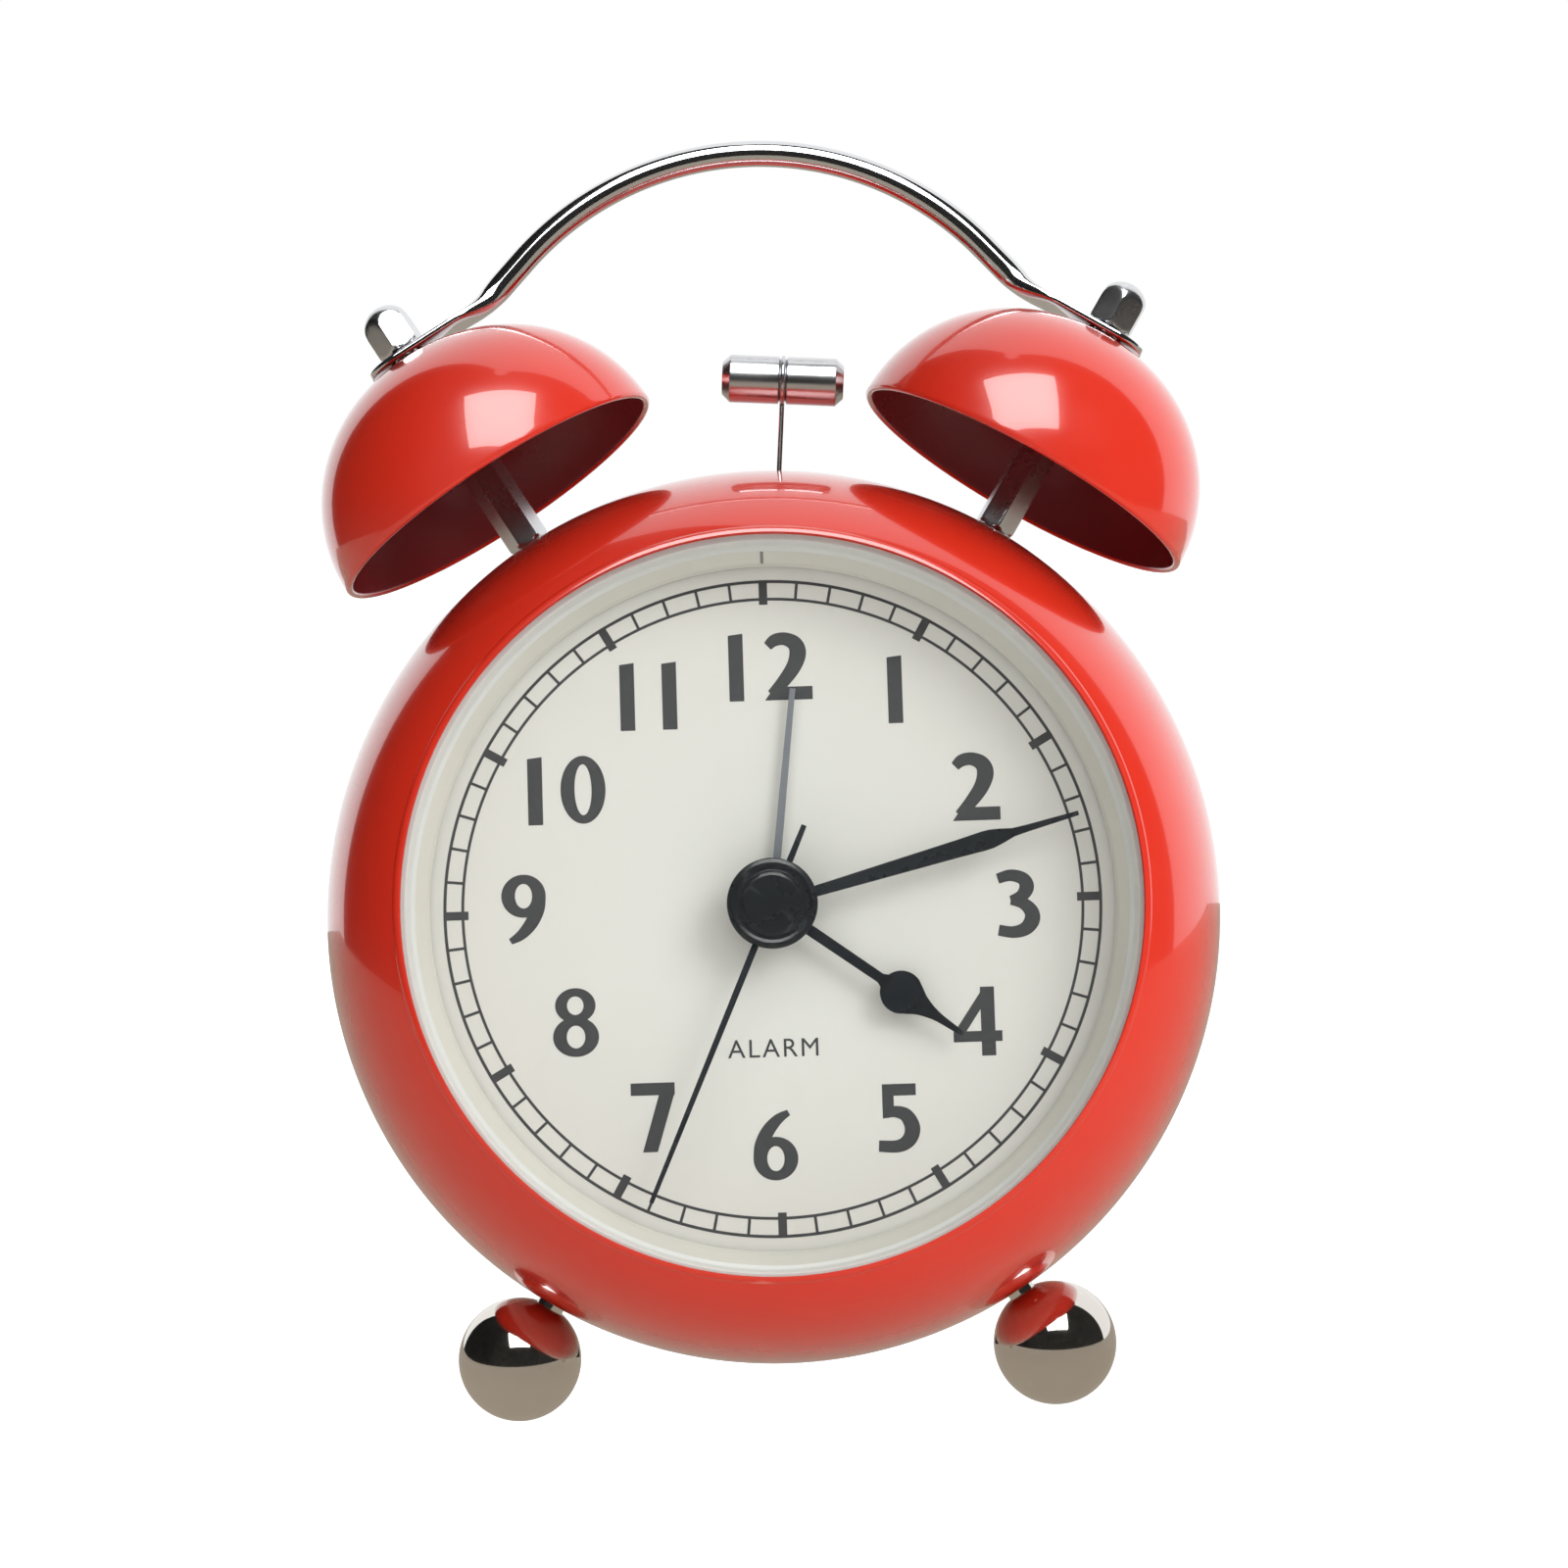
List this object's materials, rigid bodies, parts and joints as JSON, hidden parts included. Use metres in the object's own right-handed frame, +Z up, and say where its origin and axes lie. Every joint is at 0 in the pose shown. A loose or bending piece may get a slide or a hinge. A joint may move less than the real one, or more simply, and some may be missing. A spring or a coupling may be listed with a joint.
{
  "type": "twin-bell alarm clock",
  "caption": "Round quartz alarm clock with two bells and a hammer on top, a carrying handle, ball feet and a knobbed rear cover.",
  "frame": {"origin": "middle of the clock's footprint, on the surface it stands on", "axes": "+Z up, +Y from the dial towards the rear cover, +X to the right as the dial is read; the case leans back 10 degrees about X"},
  "size_m": [0.09, 0.0632, 0.1285],
  "materials": {
    "red_enamel": "glossy stove enamel",
    "chrome": "bright plated",
    "white_trim": "satin moulded",
    "dial_card": "matt printed",
    "lens": "polished clear",
    "black_hand": "satin black",
    "grey_hand": "satin grey",
    "black_plastic": "fine spark texture",
    "movement_plastic": "moulded acetal",
    "steel": "plain",
    "brass": "turned",
    "copper_wire": "enamelled winding",
    "circuit_board": "solder mask",
    "battery_jacket": "shrink sleeve"
  },
  "bodies": {
    "frame": {"case_shell": "red_enamel", "lens": "lens", "dial_surround": "white_trim", "dial": "dial_card", "bell_left": "red_enamel", "bell_post_left": "chrome", "dome_nut_left": "chrome", "post_nut_left": "steel", "bell_right": "red_enamel", "bell_post_right": "chrome", "dome_nut_right": "chrome", "post_nut_right": "steel", "handle": "chrome", "ball_foot_left": "chrome", "foot_nut_left": "steel", "ball_foot_right": "chrome", "foot_nut_right": "steel", "movement_front_case": "movement_plastic", "movement_rear_case": "black_plastic", "stator": "steel", "coil": "copper_wire", "circuit_board": "circuit_board", "quartz_crystal": "steel", "alarm_motor": "steel", "motor_bracket": "steel", "hammer_pivot_pin": "steel", "rear_cover": "black_plastic", "cover_screw_1": "steel", "cover_screw_2": "steel", "cover_screw_3": "steel", "battery": "battery_jacket", "contact_positive": "steel", "contact_spring": "steel", "switch_contacts": "circuit_board"},
    "seconds": {"second_hand": "black_hand", "second_hand_cap": "black_hand", "second_wheel": "movement_plastic"},
    "rotor": {"rotor": "steel"},
    "intermediate": {"intermediate_wheel": "movement_plastic"},
    "third": {"third_wheel": "movement_plastic"},
    "centre": {"centre_wheel": "brass"},
    "minutes": {"minute_hand": "black_hand", "cannon_pinion": "brass"},
    "hours": {"hour_hand": "black_hand", "hour_wheel": "movement_plastic"},
    "motion": {"motion_wheel": "movement_plastic"},
    "time_set": {"time_set_arbor": "movement_plastic", "time_set_knob": "black_plastic"},
    "alarm_time": {"alarm_hand": "grey_hand", "alarm_wheel": "movement_plastic"},
    "alarm_set": {"alarm_set_arbor": "movement_plastic", "alarm_set_knob": "black_plastic"},
    "hammer": {"hammer_lever": "steel", "hammer_wire": "chrome", "hammer_head": "chrome"},
    "striker": {"striker_cam": "movement_plastic"},
    "switch": {"alarm_switch": "black_plastic"},
    "door": {"battery_door": "black_plastic"}
  },
  "joints": [
    {"name": "second_hand_turn", "type": "hinge", "parent": "frame", "child": "seconds", "pos_m": [0, -0.01698, 0.05178], "axis": [0, 0.9848, -0.1736], "continuous": true},
    {"name": "rotor_turn", "type": "hinge", "parent": "frame", "child": "rotor", "pos_m": [0.00546, -0.01878, 0.04159], "axis": [0, 0.9848, -0.1736], "continuous": true},
    {"name": "intermediate_turn", "type": "hinge", "parent": "frame", "child": "intermediate", "pos_m": [0, -0.01823, 0.04469], "axis": [0, 0.9848, -0.1736], "continuous": true},
    {"name": "third_wheel_turn", "type": "hinge", "parent": "frame", "child": "third", "pos_m": [0, -0.01511, 0.06242], "axis": [0, 0.9848, -0.1736], "continuous": true},
    {"name": "centre_wheel_turn", "type": "hinge", "parent": "frame", "child": "centre", "pos_m": [0, -0.01698, 0.05178], "axis": [0, 0.9848, -0.1736], "continuous": true},
    {"name": "time_set_turn", "type": "hinge", "parent": "frame", "child": "time_set", "pos_m": [0.0153, -0.01698, 0.05178], "axis": [0, 0.9848, -0.1736], "continuous": true},
    {"name": "minute_hand_turn", "type": "hinge", "parent": "frame", "child": "minutes", "pos_m": [0, -0.01698, 0.05178], "axis": [0, 0.9848, -0.1736], "continuous": true},
    {"name": "motion_wheel_turn", "type": "hinge", "parent": "frame", "child": "motion", "pos_m": [0.0072, -0.01698, 0.05178], "axis": [0, 0.9848, -0.1736], "continuous": true},
    {"name": "hour_hand_turn", "type": "hinge", "parent": "frame", "child": "hours", "pos_m": [0, -0.01698, 0.05178], "axis": [0, 0.9848, -0.1736], "continuous": true},
    {"name": "alarm_set_turn", "type": "hinge", "parent": "frame", "child": "alarm_set", "pos_m": [-0.0153, -0.01698, 0.05178], "axis": [0, 0.9848, -0.1736], "continuous": true},
    {"name": "alarm_hand_turn", "type": "hinge", "parent": "frame", "child": "alarm_time", "pos_m": [0, -0.01698, 0.05178], "axis": [0, 0.9848, -0.1736], "continuous": true},
    {"name": "striker_turn", "type": "hinge", "parent": "frame", "child": "striker", "pos_m": [-0.0055, -0.01195, 0.08034], "axis": [0, 0.9848, -0.1736], "continuous": true},
    {"name": "hammer_swing", "type": "hinge", "parent": "frame", "child": "hammer", "pos_m": [0.0012, -0.0032, 0.08388], "axis": [0, 0.9848, -0.1736], "range_deg": [-20, 5], "stiffness_Nm_per_rad": 0.01},
    {"name": "alarm_switch_slide", "type": "slide", "parent": "frame", "child": "switch", "axis": [1, 0, 0], "range_m": [0, 0.0068]},
    {"name": "battery_door_open", "type": "hinge", "parent": "frame", "child": "door", "pos_m": [0, 0.01751, 0.01128], "axis": [-1, 0, 0], "range_deg": [0, 75]}
  ],
  "couplings": [
    {"joint": "intermediate_turn", "follows": "second_hand_turn", "ratio": -5},
    {"joint": "rotor_turn", "follows": "second_hand_turn", "ratio": 30},
    {"joint": "third_wheel_turn", "follows": "second_hand_turn", "ratio": -0.13333},
    {"joint": "centre_wheel_turn", "follows": "second_hand_turn", "ratio": 0.016667},
    {"joint": "motion_wheel_turn", "follows": "time_set_turn", "ratio": -0.5},
    {"joint": "minute_hand_turn", "follows": "time_set_turn", "ratio": 1.5},
    {"joint": "hour_hand_turn", "follows": "time_set_turn", "ratio": 0.125},
    {"joint": "alarm_hand_turn", "follows": "alarm_set_turn", "ratio": -0.66667}
  ]
}
